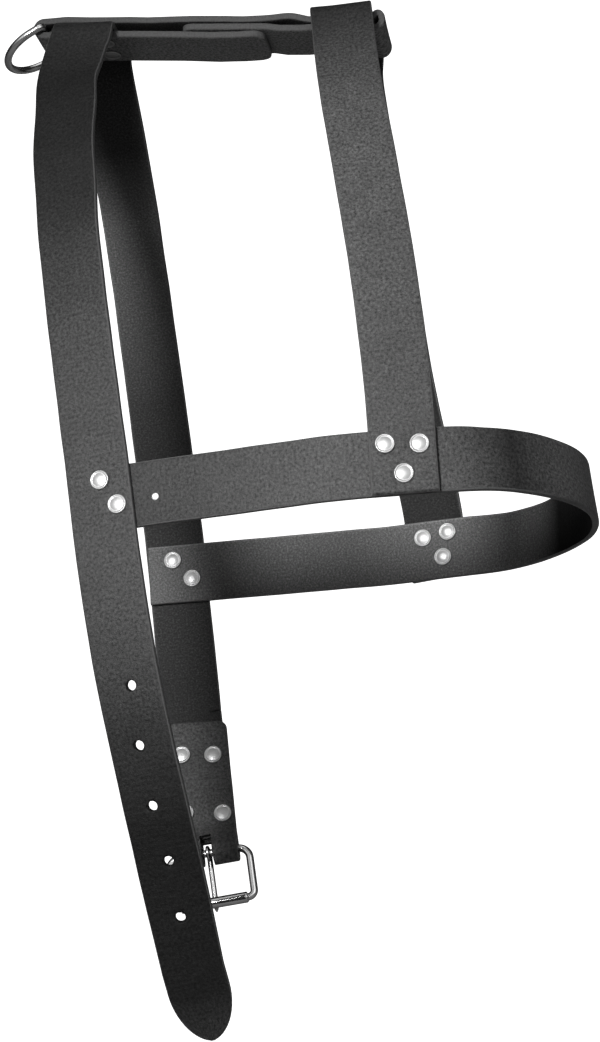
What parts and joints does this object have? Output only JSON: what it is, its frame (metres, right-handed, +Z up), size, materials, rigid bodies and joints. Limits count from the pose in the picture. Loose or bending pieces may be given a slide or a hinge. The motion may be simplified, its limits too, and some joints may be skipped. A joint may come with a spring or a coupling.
{
  "type": "leather strap harness",
  "caption": "Open-fronted leather strap harness: buckled girth strap, wither strap and looped breast band riveted together under a doubled back strap with a lead ring",
  "frame": {"origin": "centre of the opening of the lead ring, where a lead clip hangs", "axes": "+X to the front (towards the breast band), +Y to the wearer's left (buckle side), +Z up; modelled as worn, standing"},
  "size_m": [0.291, 0.1957, 0.5369],
  "materials": {
    "strap_leather": "semi-matt black bridle leather, slightly waxed, raw edges dyed",
    "nickel_wire": "bright nickel plate",
    "rivet_nickel": "nickel plated, polished rim, lightly worn"
  },
  "bodies": {
    "harness": {"girth_strap": "strap_leather", "wither_strap": "strap_leather", "breast_band": "strap_leather", "back_strap": "strap_leather", "band_tack": "nickel_wire", "rivet_caps_near_rear": "rivet_nickel", "rivet_posts_near_rear": "rivet_nickel", "rivet_caps_far_rear": "rivet_nickel", "rivet_posts_far_rear": "rivet_nickel", "rivet_caps_near_front": "rivet_nickel", "rivet_posts_near_front": "rivet_nickel", "rivet_caps_far_front": "rivet_nickel", "rivet_posts_far_front": "rivet_nickel", "rivet_caps_girth_back": "rivet_nickel", "rivet_posts_girth_back": "rivet_nickel", "rivet_caps_wither_back": "rivet_nickel", "rivet_posts_wither_back": "rivet_nickel"},
    "billet": {"girth_billet": "strap_leather"},
    "chape": {"girth_chape": "strap_leather", "rivet_caps_buckle": "rivet_nickel", "rivet_posts_buckle": "rivet_nickel"},
    "ring": {"lead_ring": "nickel_wire"},
    "buckle": {"buckle_frame": "nickel_wire"},
    "roller": {"buckle_roller": "nickel_wire"},
    "tongue": {"buckle_tongue": "nickel_wire"}
  },
  "joints": [
    {"name": "ring_swing", "type": "hinge", "parent": "harness", "child": "ring", "pos_m": [0.01163, 0, 0.0058], "axis": [0, 1, 0], "range_deg": [-60, 140]},
    {"name": "billet_bend", "type": "hinge", "parent": "harness", "child": "billet", "pos_m": [0.04588, -0.07005, -0.2975], "axis": [0.9872, -0.1391, 0.0781], "range_deg": [-35, 12]},
    {"name": "chape_bend", "type": "hinge", "parent": "harness", "child": "chape", "pos_m": [0.04803, 0.10395, -0.2975], "axis": [0.9979, 0.0309, 0.0561], "range_deg": [-10, 30]},
    {"name": "buckle_swing", "type": "hinge", "parent": "chape", "child": "buckle", "pos_m": [0.0593, 0.08339, -0.42335], "axis": [0.9942, 0.0389, 0.1006], "range_deg": [-60, 50]},
    {"name": "tongue_swing", "type": "hinge", "parent": "buckle", "child": "tongue", "pos_m": [0.0593, 0.08339, -0.42335], "axis": [0.9942, 0.0389, 0.1006], "range_deg": [0, 65]},
    {"name": "roller_spin", "type": "hinge", "parent": "buckle", "child": "roller", "pos_m": [0.06216, 0.07865, -0.44978], "axis": [0.9942, 0.0389, 0.1006], "continuous": true}
  ]
}
